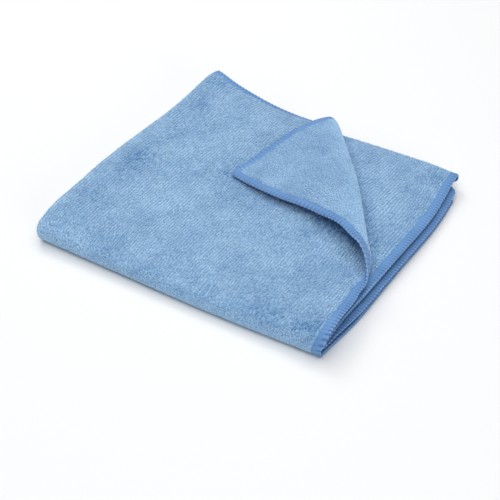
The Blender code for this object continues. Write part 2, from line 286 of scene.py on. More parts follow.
# Seeds of the random draws that have no column for them in a table
GROUND_SEED = 1
BAND_SEED = 5
RIBBED_SEED = 11
PILE_EDGE_SEED = 12
LOOSE_SEED = 13

# Camera and light
CAMERA_PLACE = Vector((348.7, -551.1, 476.8)) * MM
CAMERA_AIM = Vector((18.9, -35.1, 0.0)) * MM
CAMERA_LENS = 89.16
CAMERA_SENSOR = 36
SURROUNDING_COLOR = (0.9, 0.96, 1.0, 1)
SURROUNDING_STRENGTH = 0.20
FLOOR_REACH = 4.0
FLOOR_COLOR = (0.86, 0.86, 0.86, 1)
LIGHTS = (
    # name, place in metres, width in metres, power in watts
    ("overhead", (-0.1, 0.2, 1.4), 2.0, 19),
    ("front", (0.3, -0.8, 1.4), 0.7, 7),
    ("low front", (1.5, -0.9, 0.35), 0.8, 8),
    ("key", (-0.8, 0.6, 0.95), 0.5, 4),
)


def ease(low, high, value):
    """0 below low, 1 above high, and a smooth step between them."""
    share = np.clip((value - low) / (high - low), 0, 1)
    return share * share * (3 - 2 * share)


def swelling(x, y):
    """The top ply's rise at a place: the sum of the smooth round swellings in the table."""
    rise = 0
    for centre_x, centre_y, reach_x, reach_y, height in SWELLINGS:
        across = (x / MM - centre_x) / reach_x
        along = (y / MM - centre_y) / reach_y
        rise = rise + height * MM * np.exp(-(across**2) - along**2)
    return rise


def pull(x, y, share):
    """The move of the ply that lies at that share of the pack's height: the sum of the pulls in the table."""
    move_x, move_y = 0, 0
    for centre_x, centre_y, reach_x, reach_y, top_x, top_y, bottom_x, bottom_y in PULLS:
        across = (x / MM - centre_x) / reach_x
        along = (y / MM - centre_y) / reach_y
        felt = MM * np.exp(-(across**2) - along**2)
        move_x = move_x + felt * (bottom_x + (top_x - bottom_x) * share)
        move_y = move_y + felt * (bottom_y + (top_y - bottom_y) * share)
    return move_x, move_y


def rounded(u, v):
    """The flat pattern with its four corners rounded: the square of each corner goes onto a quarter disc."""
    across = np.clip((np.abs(u) - HALF_U + CORNER_RADIUS) / CORNER_RADIUS, 0, 1)
    along = np.clip((np.abs(v) - HALF_V + CORNER_RADIUS) / CORNER_RADIUS, 0, 1)
    u = u - np.sign(u) * CORNER_RADIUS * across * (1 - np.sqrt(1 - along**2 / 2))
    v = v - np.sign(v) * CORNER_RADIUS * along * (1 - np.sqrt(1 - across**2 / 2))
    return u, v


def from_edge(u, v):
    """The distance from the cloth's edge, inwards, on the pattern with rounded corners."""
    across = np.abs(u) - HALF_U + CORNER_RADIUS
    along = np.abs(v) - HALF_V + CORNER_RADIUS
    outside = np.hypot(np.maximum(across, 0), np.maximum(along, 0))
    return CORNER_RADIUS - outside - np.minimum(np.maximum(across, along), 0)


def crease_cone():
    """The cone that the top ply's corner rolls on.

    Its lowest line, the crease, runs from the back hem to the right hem. Returns the cone's tip, the
    crease's direction, the way across it, and the sine of the cone's half angle.
    """
    back_hem = HALF_V / 2 + OUTER_RADIUS * (1 - np.pi / 2)
    right_hem = HALF_U / 2 + LEFT_RADIUS * (1 - np.pi / 2)
    start = np.array([CREASE_BACK_X, back_hem])
    line = np.array([right_hem, CREASE_RIGHT_Y]) - start
    length = np.hypot(*line)
    along = line / length
    across = np.array([-along[1], along[0]])
    slope = (CONE_RADIUS_RIGHT - CONE_RADIUS_BACK) / length
    tip = start - along * CONE_RADIUS_BACK / slope
    return tip, along, across, slope


def moves(x, y, table):
    """The move of the cloth at a place, right, back and up: the sum of the smooth moves in the table."""
    move = np.zeros((3, *np.shape(x)))
    for centre_x, centre_y, reach_x, reach_y, *most in table:
        across = (x / MM - centre_x) / reach_x
        along = (y / MM - centre_y) / reach_y
        move = move + MM * np.multiply.outer(most, np.exp(-(across**2) - along**2))
    return move


def turn_back(x, y):
    """Rolls what lies past the crease round the cone.

    A point keeps its distance from the cone's tip. Its angle from the crease is wound round the cone, and
    what is left of the angle after CONE_TURN lies in the plane that leaves the cone there. The right hem
    curls up and is drawn in, and what has turned over is moved by the table's moves. Returns the new x and
    y, the height above the ply, and which points are past the crease.
    """
    tip, along, across, slope = crease_cone()
    level = np.sqrt(1 - slope**2)
    from_tip_x, from_tip_y = x - tip[0], y - tip[1]
    line = from_tip_x * along[0] + from_tip_y * along[1]
    over = from_tip_x * across[0] + from_tip_y * across[1]
    distance = np.hypot(line, over)
    angle = np.arctan2(over, line)
    wound = np.clip(angle / slope, 0, CONE_TURN)
    rest = angle - wound * slope
    cos_wound, sin_wound = np.cos(wound), np.sin(wound)
    # The cone's line through the point, and the way round the cone from it, each as crease, across and up
    ray = (level**2 + slope**2 * cos_wound, slope * sin_wound, level * slope * (1 - cos_wound))
    way = (-slope * sin_wound, cos_wound, level * sin_wound)
    put = [distance * (np.cos(rest) * r + np.sin(rest) * w) for r, w in zip(ray, way)]
    height = put[2]
    resting = FLAP_CLEARANCE + FLAP_EASE * np.logaddexp(0, (height - FLAP_CLEARANCE) / FLAP_EASE)
    turned = ease(np.pi / 2, np.pi, wound)
    right_hem = HALF_U / 2 + LEFT_RADIUS * (1 - np.pi / 2)
    near_hem = 1 - ease(0, HEM_CURL_REACH, right_hem - x)
    height = height + (resting - height + HEM_CURL * near_hem) * turned
    drawn = put[1] - HEM_DRAW * near_hem * sin_wound**2
    new_x = tip[0] + put[0] * along[0] + drawn * across[0]
    new_y = tip[1] + put[0] * along[1] + drawn * across[1]
    move = moves(new_x, new_y, FLAP_MOVES) * turned
    return new_x + move[0], new_y + move[1], height + move[2], angle > 0


def lay(u, v):
    """The place of the middle of the cloth, as an array of x, y and z, for points of the flat pattern."""
    from_left = np.abs(u)
    # The first fold: a half circle between the two plies, wider where the swellings will part them
    fullness = 1 + swelling(-HALF_U / 2, np.abs(v) - HALF_V / 2) / (TOP_LEVEL - BOTTOM_LEVEL)
    left_radius = LEFT_RADIUS * fullness
    turn = np.minimum(from_left / left_radius, np.pi / 2)
    x = left_radius * (1 - np.cos(turn)) + np.maximum(from_left - left_radius * np.pi / 2, 0)
    x = x - HALF_U / 2
    off_middle = np.sign(u) * LEFT_RADIUS * np.sin(turn)
    # The second fold: a half circle round the front, wider for the outer ply
    skewed = v + np.where(u < 0, INNER_SKEW, OUTER_SKEW) * from_left / HALF_U
    slip = ease(0, CORNER_EASE, from_left)
    quarter = np.pi / 2 * (FRONT_RADIUS + off_middle * slip)
    radius = FRONT_RADIUS + off_middle
    bend = np.clip(np.abs(skewed) / quarter, 0, 1) * np.pi / 2
    y = np.maximum(np.abs(skewed) - quarter, 0) - radius * np.cos(bend)
    y = y + OUTER_RADIUS - HALF_V / 2
    z = MIDDLE_LEVEL + np.sign(skewed) * radius * np.sin(bend)
    y = y - np.where(u < 0, INNER_SLACK, 0) * slip * ease(0, HALF_V, np.abs(v))
    # The lower half lies further right, and the upper half bows out at the left
    x = x + LOWER_SHIFT * ease(-SHIFT_FROM, -SHIFT_TO, -v)
    bow = np.clip(-2 * x / HALF_U, 0, 1) ** 1.5 * np.cos(np.clip(2 * y / HALF_V, -1, 1) * np.pi / 2)
    x = x - LEFT_BULGE * bow * ease(0, LEFT_RADIUS, z - MIDDLE_LEVEL + LEFT_RADIUS)
    # The top ply's corner
    turned_x, turned_y, height, past = turn_back(x, y)
    past = past & (u > 0) & (v > 0)
    x = np.where(past, turned_x, x)
    y = np.where(past, turned_y, y)
    z = np.where(past, TOP_LEVEL + height, z)
    # The inner ply's back hem
    corner = CURL_CORNER * ease(CURL_CORNER_FROM, CURL_CORNER_TO, x)
    curl_line = CURL_Y + CURL_BOW * (2 * x / HALF_U) ** 2 - corner
    beyond = y - curl_line
    curl = np.clip(beyond / CURL_RADIUS, 0, np.pi)
    curled = (u < 0) & (v > 0) & (beyond > 0)
    flat_rest = np.maximum(beyond - np.pi * CURL_RADIUS, 0)
    y = np.where(curled, curl_line + CURL_RADIUS * np.sin(curl) - flat_rest, y)
    z = np.where(curled, z - CURL_RADIUS * (1 - np.cos(curl)), z)
    # The swellings lift each ply by its share of the pack's height, so the bottom stays flat, and the
    # troughs and ridges are the top ply's alone
    share = np.clip((z - BOTTOM_LEVEL) / (TOP_LEVEL - BOTTOM_LEVEL), 0, 1)
    move_x, move_y = pull(x, y, share)
    x, y = x + move_x, y + move_y
    dent = moves(x, y, DENTS) * ease(TOP_SHARE, 1, share) * (u > 0)
    z = z + share * swelling(x, y) + dent[2]
    return np.stack([x + dent[0] - CENTRE_X, y + dent[1] - CENTRE_Y, z], axis=-1)


def normals(u, v):
    """Unit normals of the folded sheet on its outer side, from small steps across and along the pattern."""
    step = 0.05 * MM
    across = lay(u + step, v) - lay(u - step, v)
    along = lay(u, v + step) - lay(u, v - step)
    normal = np.cross(across, along)
    return normal / np.linalg.norm(normal, axis=-1, keepdims=True)


def off_sheet(u, v, height):
    """The folded place of points that stand off the pattern by height, towards its outer side if above 0."""
    return lay(u, v) + normals(u, v) * height[..., None]


def past_crease(u, v):
    """How far a point of the upper plies, laid flat, lies past the crease of the turned corner."""
    tip, _, across, _ = crease_cone()
    x = np.abs(u) - LEFT_RADIUS * (np.pi / 2 - 1) - HALF_U / 2
    y = v + OUTER_RADIUS * (1 - np.pi / 2) - HALF_V / 2
    return (x - tip[0]) * across[0] + (y - tip[1]) * across[1]


def smooth_noise(u, v, cell, seed):
    """Noise from -1 to 1: random values on a square lattice of that cell, blended by smooth steps."""
    side = 512
    lattice = np.random.default_rng(seed).uniform(-1, 1, (side, side))
    place_u, place_v = u / cell + side / 2, v / cell + side / 2
    low_u, low_v = np.floor(place_u).astype(int), np.floor(place_v).astype(int)
    share_u, share_v = ease(0, 1, place_u - low_u), ease(0, 1, place_v - low_v)
    near = lattice[low_u, low_v] * (1 - share_u) + lattice[low_u + 1, low_v] * share_u
    far = lattice[low_u, low_v + 1] * (1 - share_u) + lattice[low_u + 1, low_v + 1] * share_u
    return near * (1 - share_v) + far * share_v


def outward(points, faces):
    """The faces of a closed piece, turned round if they enclose a negative volume."""
    corner = [points[faces[:, i]] for i in range(3)]
    volume = np.einsum("ij,ij->i", corner[0], np.cross(corner[1], corner[2])).sum()
    if faces.shape[1] == 4:
        fourth = points[faces[:, 3]]
        volume += np.einsum("ij,ij->i", corner[0], np.cross(corner[2], fourth)).sum()
    return faces if volume > 0 else faces[:, ::-1]


def new_piece(name, points, faces, material, shade=None):
    """A smooth piece from arrays of points and faces.

    shade is kept for its material, in which 0 gives the deep colour and 1 the light one.
    """
    faces = outward(points, faces)
    mesh = bpy.data.meshes.new(name)
    mesh.vertices.add(len(points))
    mesh.vertices.foreach_set("co", points.astype(np.float32).ravel())
    mesh.loops.add(faces.size)
    mesh.loops.foreach_set("vertex_index", faces.astype(np.int32).ravel())
    mesh.polygons.add(len(faces))
    mesh.polygons.foreach_set("loop_start", np.arange(0, faces.size, faces.shape[1], dtype=np.int32))
    mesh.update(calc_edges=True)
    mesh.shade_smooth()
    if shade is not None:
        attribute = mesh.attributes.new("shade", "FLOAT", "POINT")
        attribute.data.foreach_set("value", shade.astype(np.float32).ravel())
    mesh.materials.append(material)
    piece = bpy.data.objects.new(name, mesh)
    bpy.context.scene.collection.objects.link(piece)
    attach(piece, "root")
    return piece


# ---------------------------------------------------------------------------- the ground knit


def ground_columns():
    """Columns of the ground knit: close round the left fold and where the back hem rolls over."""
    across = crease_cone()[2]
    roll_start = CREASE_BACK_X + HALF_U / 2 + LEFT_RADIUS * (np.pi / 2 - 1)
    roll_end = roll_start + CONE_TURN * CONE_RADIUS_BACK / across[0]
    close = np.linspace(0, LEFT_FOLD_REACH, LEFT_FOLD_COLUMNS + 1)
    marks = (LEFT_FOLD_REACH, roll_start, roll_end, HALF_U - HEM_WIDTH)
    outer = [np.linspace(a, b, n + 1)[1:] for a, b, n in zip(marks, marks[1:], OUTER_COLUMNS)]
    inner = np.linspace(LEFT_FOLD_REACH, HALF_U - HEM_WIDTH, INNER_COLUMNS + 1)[1:]
    hem = np.linspace(HALF_U - HEM_WIDTH, HALF_U, HEM_STEPS + 1)[1:]
    return np.concatenate([-hem[::-1], -inner[::-1], -close[:0:-1], close, *outer, hem])


def ground_rows(u):
    """Rows of the ground knit in each column: those of the roll follow lines through the cone's tip."""
    rolled_rows, rest_rows, before_rows, below_rows, fold_rows = 26, 14, 44, 40, 8
    tip, along, across, slope = crease_cone()
    quarter = np.pi / 2 * OUTER_RADIUS
    x = u - LEFT_RADIUS * (np.pi / 2 - 1) - HALF_U / 2
    angle = np.linspace(0, ROLL_SPAN * CONE_TURN, rolled_rows + 1)[:, None] * slope
    line_x = along[0] * np.cos(angle) + across[0] * np.sin(angle)
    line_y = along[1] * np.cos(angle) + across[1] * np.sin(angle)
    y = tip[1] + (x - tip[0]) * line_y / line_x
    roll = y - OUTER_RADIUS + HALF_V / 2 + quarter - OUTER_SKEW * u / HALF_U
    after = roll[-1] + (HALF_V - roll[-1]) * (np.arange(1, rest_rows + 1) / rest_rows)[:, None]
    rolled = np.where(u > 0, np.concatenate([roll, after]), np.inf)
    back = np.linspace(HALF_V - BACK_MARGIN, HALF_V, len(rolled))[:, None]
    upper = np.minimum(rolled, back)
    fold_line = -np.where(u < 0, INNER_SKEW, OUTER_SKEW) * np.abs(u) / HALF_U
    front = np.linspace(-quarter, quarter, 2 * fold_rows + 1)[:, None] + fold_line
    before = front[-1] + np.arange(1, before_rows + 1)[:, None] / (before_rows + 1) * (upper[0] - front[-1])
    below = np.arange(below_rows)[:, None] / below_rows
    below = HEM_WIDTH - HALF_V + below * (front[0] + HALF_V - HEM_WIDTH)
    hem = np.linspace(-HALF_V, HEM_WIDTH - HALF_V, HEM_STEPS + 1)[:-1, None] + 0 * u
    return np.concatenate([hem, below, front, before, upper])


def ground_knit(material):
    """The knitted ground: the folded sheet, thinner than the pile on it, closed all round."""
    columns = ground_columns()
    v = ground_rows(columns)
    u = columns + 0 * v
    u, v = rounded(u, v)
    full, thinned = GROUND_THINS
    inside = ease(thinned * HEM_WIDTH, full * HEM_WIDTH, from_edge(u, v))
    half = (HEM_GROUND_THICKNESS + (GROUND_THICKNESS - HEM_GROUND_THICKNESS) * inside) / 2
    rows, wide = u.shape
    count = rows * wide
    points = np.concatenate([off_sheet(u, v, half).reshape(-1, 3), off_sheet(u, v, -half).reshape(-1, 3)])
    grid = np.arange(count).reshape(rows, wide)
    quads = np.stack([grid[:-1, :-1], grid[:-1, 1:], grid[1:, 1:], grid[1:, :-1]], axis=-1).reshape(-1, 4)
    rim = np.concatenate([grid[0], grid[1:, -1], grid[-1, -2::-1], grid[-2:0:-1, 0]])
    after = np.roll(rim, -1)
    side = np.stack([after, rim, rim + count, after + count], axis=-1)
    faces = np.concatenate([quads, quads[:, ::-1] + count, side])
    # darker than the pile: painted shade between the tufts, with a smooth random spread
    shade = GROUND_TONE + GROUND_TONE_SPREAD * smooth_noise(u, v, GROUND_TONE_CELL, GROUND_SEED)
    return new_piece("cloth_ground", points, faces, material, np.tile(shade.ravel(), 2))


# ---------------------------------------------------------------------------- the pile


def round_tuft():
    """A tuft's twelve points and twenty faces: a ball of two rings of five between two ends."""
    ring = np.arange(5) * 2 * np.pi / 5
    wide, level = 2 / np.sqrt(5), 1 / np.sqrt(5)
    upper = np.stack([wide * np.cos(ring), wide * np.sin(ring), 0 * ring + level], axis=-1)
    turned = ring + np.pi / 5
    lower = np.stack([wide * np.cos(turned), wide * np.sin(turned), 0 * ring - level], axis=-1)
    points = np.concatenate([[[0, 0, 1]], upper, lower, [[0, 0, -1]]])
    here = np.arange(5)
    after = (here + 1) % 5
    faces = np.concatenate(
        [
            np.stack([0 * here, 1 + here, 1 + after], axis=-1),
            np.stack([1 + here, 6 + here, 1 + after], axis=-1),
            np.stack([1 + after, 6 + here, 6 + after], axis=-1),
            np.stack([11 + 0 * here, 6 + after, 6 + here], axis=-1),
        ]
    )
    return points, faces


def plain_tuft():
    """A tuft with fewer faces, for pile that is seldom seen: a ring of six between two ends."""
    ring = np.arange(6) * 2 * np.pi / 6
    middle = np.stack([np.cos(ring), np.sin(ring), 0 * ring + 0.3], axis=-1)
    points = np.concatenate([[[0, 0, 1]], middle, [[0, 0, -1]]])
    here = np.arange(6)
    after = (here + 1) % 6
    top = np.stack([0 * here, 1 + here, 1 + after], axis=-1)
    bottom = np.stack([7 + 0 * here, 1 + after, 1 + here], axis=-1)
    return points, np.concatenate([top, bottom])


def tuft_places(across, along, stray, seed):
    """The pattern's tufts: ribs that far across, with a tuft that far along each rib from a random start.

    stray is how far a tuft may lie from its place, across its rib and along it. Then all tufts sway with a
    smooth noise, so that the ribs wander sideways.
    """
    chance = np.random.default_rng(seed)
    ribs = np.arange(-np.floor(HALF_U / across), np.floor(HALF_U / across) + 1)
    steps = np.arange(-np.floor(HALF_V / along), np.floor(HALF_V / along))
    rib, step = [grid.ravel() for grid in np.meshgrid(ribs, steps, indexing="ij")]
    start = np.repeat(chance.uniform(0, 1, ribs.size), steps.size)
    u = rib * across + stray[0] * chance.uniform(-1, 1, rib.size)
    v = (step + start) * along + stray[1] * chance.uniform(-1, 1, rib.size)
    return u + RIB_SWAY * smooth_noise(u, v, RIB_SWAY_CELL, seed + 1), v


def pile(name, places, chosen, side, form, size, material, seed):
    """Tufts at the chosen places of the pattern, on its outer side if side is 1, on its reverse if -1.

    Each point of a tuft is its place on the pattern plus the form's point, stretched along the rib, leant
    with the nap and lifted off the sheet, and is folded with the sheet. The shade is lightest at the tips:
    painted shade towards the roots, between the tufts. It takes the painted light and shade of the bends
    and the marks, and varies from tuft to tuft, more so where these darken it, and in small patches and
    large ones.
    """
    shape, faces = form
    u, v = places[0][chosen], places[1][chosen]
    chance = np.random.default_rng(seed).uniform(-1, 1, (5, u.size, 1))
    nap = smooth_noise(u, v, NAP_CELL, seed + 1)[:, None]
    patch = smooth_noise(u, v, PATCH_CELL, seed + 2)[:, None]
    grown = 1 + HEIGHT_VARIES * chance[0] + PATCH_HEIGHT * patch
    at_u = u[:, None] + size[0] * (1 + WIDTH_VARIES * chance[1]) * shape[:, 0]
    at_v = v[:, None] + size[1] * (1 + LENGTH_VARIES * chance[2]) * shape[:, 1]
    off_root = shape[:, 2] + 1
    at_u = at_u + off_root * (ACROSS_LEAN * chance[3] + ACROSS_NAP_LEAN * nap)
    at_v = at_v + off_root * (ALONG_LEAN * chance[4] + ALONG_NAP_LEAN * nap)
    height = PILE_TOP - size[2] + size[2] * grown * shape[:, 2]
    points = off_sheet(at_u, at_v, side * height).reshape(-1, 3)
    points[:, 2] = np.maximum(points[:, 2], 0)
    # painted light and shade of the bends, with the nap and the marks
    painted_and_nap = painted_light_and_nap(u, v, side)[:, None]
    parted = np.clip(-painted_and_nap, 0, MOST_PARTED)
    tone = PILE_TONE + (TUFT_TONE + PARTED_TONE * parted) * chance[1]
    tone = tone + NAP_TONE * nap + PATCH_TONE * patch + painted_and_nap
    # the tufts darken towards their roots: painted shade
    shade = np.clip(tone * (1 - TUFT_PAINTED_SHADE + TUFT_PAINTED_SHADE * shape[:, 2]), DARKEST, 1)
    every = faces[None] + len(shape) * np.arange(u.size)[:, None, None]
    return new_piece(name, points, every.reshape(-1, 3), material, shade)


def lightened(past, change, middle, reach):
    """A change of tone along a line: a bell curve of the distance past it. middle and reach are in mm."""
    return change * np.exp(-(((past / MM - middle) / reach) ** 2))


def painted_light_and_nap(u, v, side):
    """How much lighter the pile is: where a bend opens it, in the marks, and darker beside the rolled corner.

    On the outer side the bends are the front and the left fold, on the reverse the roll of the corner. There
    the lighter pile is partly painted light and sheen, and the darker pile beside the roll is a painted
    shadow. Some marks are painted shade too. Each mark is a bell curve of the place in it.
    """
    past = past_crease(u, v)
    if side > 0:
        # painted light on the rounded front fold and left fold, with the pile that they open
        tone = lightened(v + OUTER_SKEW * u / HALF_U, *FRONT_OPEN_AND_PAINTED_LIGHT) + lightened(u, *LEFT_OPEN_AND_PAINTED_LIGHT)
    else:
        # painted sheen on the roll, with the pile it opens, and painted shadow on the ply beside it
        rolled = lightened(past, *ROLL_OPEN_AND_PAINTED_SHEEN)
        beside = lightened(past, *BESIDE_ROLL_PAINTED_SHADOW)
        tone = np.where((u > 0) & (v > 0), rolled, np.where(v > 0, beside, 0))
    for mark_side, centre_u, centre_v, reach_u, reach_v, change in NAP_AND_PAINTED_SHADE_MARKS:
        if mark_side == side:
            across = (u / MM - centre_u) / reach_u
            along = (v / MM - centre_v) / reach_v
            tone = tone + change * np.exp(-(across**2) - along**2)
    return tone


def inside_hem(u, v):
    """Whether a tuft lies inside the hem's inner line, which the pile overlaps unevenly."""
    wander = PILE_EDGE_SPREAD * smooth_noise(u, v, PILE_EDGE_CELL, PILE_EDGE_SEED)
    return from_edge(u, v) > PILE_EDGE + wander


def all_pile(material):
    """Pile where it can be seen: the top, the underside, the turned corner, what it bares, and near edges."""
    ribbed = tuft_places(RIB_PITCH, TUFT_PITCH, TUFT_STRAY, RIBBED_SEED)
    loose = tuft_places(LOOSE_PITCH, LOOSE_PITCH, LOOSE_STRAY, LOOSE_SEED)
    u, v = ribbed
    edge = from_edge(u, v)
    past = past_crease(u, v)
    inside = inside_hem(u, v)
    under_corner = (past > UNDER_CORNER_FROM) & (edge > UNDER_CORNER_MARGIN)
    around_left = u > -LEFT_RIBS * RIB_PITCH
    from_fold = v + OUTER_SKEW * u / HALF_U
    top = inside & around_left & (from_fold > FRONT_LOOSE[1]) & ~under_corner
    underside = inside & around_left & (from_fold <= FRONT_LOOSE[0])
    turned_reverse = (u > 0) & (v > 0) & (past > CORNER_FROM)
    bared = (u < -BARED_FROM_LEFT) & (v > 0) & (past > BARED_FROM)
    near_edge = inside & (edge < SEEN_DEPTH)
    inner_outside = near_edge & ~around_left
    inner_reverse = near_edge & ~turned_reverse & ~bared
    loose_u, loose_v = loose
    loose_from_fold = loose_v + OUTER_SKEW * loose_u / HALF_U
    loose_inside = inside_hem(loose_u, loose_v)
    front = loose_inside & (loose_u > -LEFT_RIBS * RIB_PITCH)
    front = front & (loose_from_fold > FRONT_LOOSE[0]) & (loose_from_fold <= FRONT_LOOSE[1])
    turned = loose_inside & (loose_u > 0) & (loose_v > 0) & (past_crease(loose_u, loose_v) > CORNER_FROM)
    pieces = []
    for name, places, chosen, side, form, size, seed in (
        ("pile_top", ribbed, top, 1, round_tuft(), TUFT_SIZE, 21),
        ("pile_underside", ribbed, underside, 1, plain_tuft(), TUFT_SIZE, 31),
        ("pile_front_fold", loose, front, 1, round_tuft(), LOOSE_SIZE, 25),
        ("pile_turned_corner", loose, turned, -1, round_tuft(), LOOSE_SIZE, 41),
        ("pile_bared_ply", ribbed, inside & bared, -1, round_tuft(), TUFT_SIZE, 51),
        ("pile_inner_edges", ribbed, inner_outside, 1, plain_tuft(), TUFT_SIZE, 61),
        ("pile_inner_reverse", ribbed, inner_reverse, -1, plain_tuft(), TUFT_SIZE, 71),
    ):
        pieces.append(pile(name, places, chosen, side, form, size, material, seed))
    return pieces


# ---------------------------------------------------------------------------- the hem


def edge_path(steps_per_stitch):
    """Points along the cloth's edge at equal steps, a whole number to a stitch, and the way out at each."""
    straight_u, straight_v = HALF_U - CORNER_RADIUS, HALF_V - CORNER_RADIUS
    arc = np.pi / 2 * CORNER_RADIUS
    total = 4 * (straight_u + straight_v + arc)
    stitches = round(total / STITCH_PITCH)
    run = np.arange(stitches * steps_per_stitch) * total / (stitches * steps_per_stitch)
    u, v = np.zeros_like(run), np.zeros_like(run)
    out_u, out_v = np.zeros_like(run), np.zeros_like(run)
    start = 0.0
    for turn in range(4):
        angle = turn * np.pi / 2
        half, off = (straight_v, HALF_U) if turn % 2 == 0 else (straight_u, HALF_V)
        cos, sin = round(np.cos(angle)), round(np.sin(angle))
        on = (run >= start) & (run < start + 2 * half)
        way = run[on] - start - half
        u[on], v[on] = off * cos - way * sin, off * sin + way * cos
        out_u[on], out_v[on] = cos, sin
        start += 2 * half
        on = (run >= start) & (run < start + arc)
        bend = angle + (run[on] - start) / CORNER_RADIUS
        middle_u = (off - CORNER_RADIUS) * cos - half * sin
        middle_v = (off - CORNER_RADIUS) * sin + half * cos
        out_u[on], out_v[on] = np.cos(bend), np.sin(bend)
        u[on], v[on] = middle_u + CORNER_RADIUS * out_u[on], middle_v + CORNER_RADIUS * out_v[on]
        start += arc
    return u, v, out_u, out_v


def ring_faces(along, around):
    """The faces of a closed band that has that many rings, and that many points in each ring."""
    grid = np.arange(along * around).reshape(along, around)
    ahead, beside = np.roll(grid, -1, axis=0), np.roll(grid, -1, axis=1)
    return np.stack([grid, beside, np.roll(ahead, -1, axis=1), ahead], axis=-1).reshape(-1, 4)


def hem_overlock(material):
    """Thread wound over the edge: a flat sleeve whose surface rises and falls once in each stitch.

    The section goes from the hem's inner line over the outer face, round the edge in a half circle, back
    over the reverse, and closes inside the cloth. The relief is a power of a sine of the run along the edge,
    slanted across the band. It is slight, and adds a bell curve of the distance from each border of the band.
    The inner line wanders with a smooth noise. The shade is darker between the turns, most at the borders:
    painted shade in the grooves.
    """
    u, v, out_u, out_v = edge_path(STITCH_STEPS)
    face = np.array(BAND_FACE)
    bend = np.linspace(0, np.pi, 5)[1:-1]
    inset = HEM_HALF_THICKNESS + (HEM_WIDTH - HEM_HALF_THICKNESS) * face
    depth = np.concatenate([inset, HEM_HALF_THICKNESS * (1 - np.sin(bend)), inset[::-1], [HEM_CLOSES]])
    level = np.concatenate([1 + 0 * face, np.cos(bend), -1 + 0 * face, [0]])
    run = np.arange(u.size) / STITCH_STEPS
    stitch = run[:, None] + BAND_SLANT / STITCH_PITCH * np.sign(level) * depth / HEM_WIDTH
    rise = np.abs(np.sin(np.pi * stitch)) ** THREAD_ROUNDNESS
    border = 0
    for strength, place in (INNER_BORDER, OUTER_BORDER):
        border = border + strength * np.exp(-(((depth - place) / BORDER_REACH) ** 2))
    relief = (BAND_RELIEF + BORDER_RELIEF * border) * (rise - THREAD_MIDDLE)
    uneven = smooth_noise(u, v, BAND_UNEVEN_CELL, BAND_SEED)[:, None]
    inner = ease(0.5, 1, depth / HEM_WIDTH)
    depth = depth - np.where(np.abs(level) < 1, relief, 0) + BAND_UNEVEN * uneven * inner
    height = level * (HEM_HALF_THICKNESS + relief)
    points = off_sheet(u[:, None] - out_u[:, None] * depth, v[:, None] - out_v[:, None] * depth, height)
    points[..., 2] = np.maximum(points[..., 2], 0)
    # darker between the turns, most at the borders: painted shade
    painted_turn_shade = (TURN_PAINTED_SHADE + BORDER_PAINTED_SHADE * border) * (rise - BAND_TONE_LEVEL)
    shade = np.clip(BAND_TONE + painted_turn_shade + BAND_TONE_UNEVEN * uneven, 0, 1)
    faces = ring_faces(*height.shape)
    return new_piece("hem_overlock", points.reshape(-1, 3), faces, material, shade)


def hem_edge_thread(material):
    """The looper thread that locks the stitches: a cord along the edge with a bead at each stitch.

    Its radius is a waist plus a swell that follows the top half of a sine of the run along the edge. Its
    shade is darker at the waists than on the beads: painted shade.
    """
    u, v, out_u, out_v = edge_path(STITCH_STEPS)
    around = np.arange(6) * np.pi / 3
    bead = np.abs(np.sin(np.pi * np.arange(u.size) / STITCH_STEPS))[:, None]
    radius = EDGE_THREAD_RADIUS * (BEAD_WAIST + BEAD_SWELL * bead)
    depth = -EDGE_THREAD_OUT - radius * np.cos(around)
    height = EDGE_THREAD_UP + radius * np.sin(around)
    points = off_sheet(u[:, None] - out_u[:, None] * depth, v[:, None] - out_v[:, None] * depth, height)
    points[..., 2] = np.maximum(points[..., 2], 0)
    # painted shade at the waists between the beads
    shade = WAIST_PAINTED_SHADE * bead + 0 * height
    faces = ring_faces(*height.shape)
    return new_piece("hem_edge_thread", points.reshape(-1, 3), faces, material, shade)


# ---------------------------------------------------------------------------- materials


